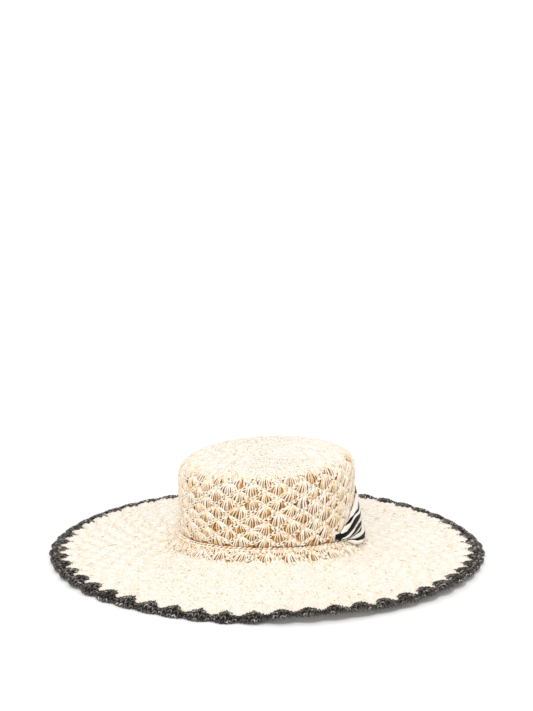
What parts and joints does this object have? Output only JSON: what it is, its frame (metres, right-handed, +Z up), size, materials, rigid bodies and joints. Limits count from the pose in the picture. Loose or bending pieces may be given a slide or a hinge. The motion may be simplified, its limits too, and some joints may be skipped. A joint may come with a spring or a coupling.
{
  "type": "sun hat",
  "caption": "Wide-brimmed crocheted straw sun hat with a flat crown, scalloped dark edging and a striped scarf band; it lies flat on a surface and opens underneath for a head.",
  "frame": {"origin": "on the surface that the hat lies on, under the middle of the brim", "axes": "+Z up through the crown's tip, -Y towards the front, +X towards the side with the visible eyelet and scarf"},
  "size_m": [0.4612, 0.4612, 0.1137],
  "materials": {
    "natural_raffia": "crocheted natural raffia, matt",
    "charcoal_raffia": "crocheted charcoal raffia, matt",
    "striped_cloth": "printed satin cloth, black and ivory stripes"
  },
  "bodies": {
    "root": {"crown": "natural_raffia", "brim": "natural_raffia", "edging": "charcoal_raffia", "scarf": "striped_cloth"}
  },
  "joints": []
}
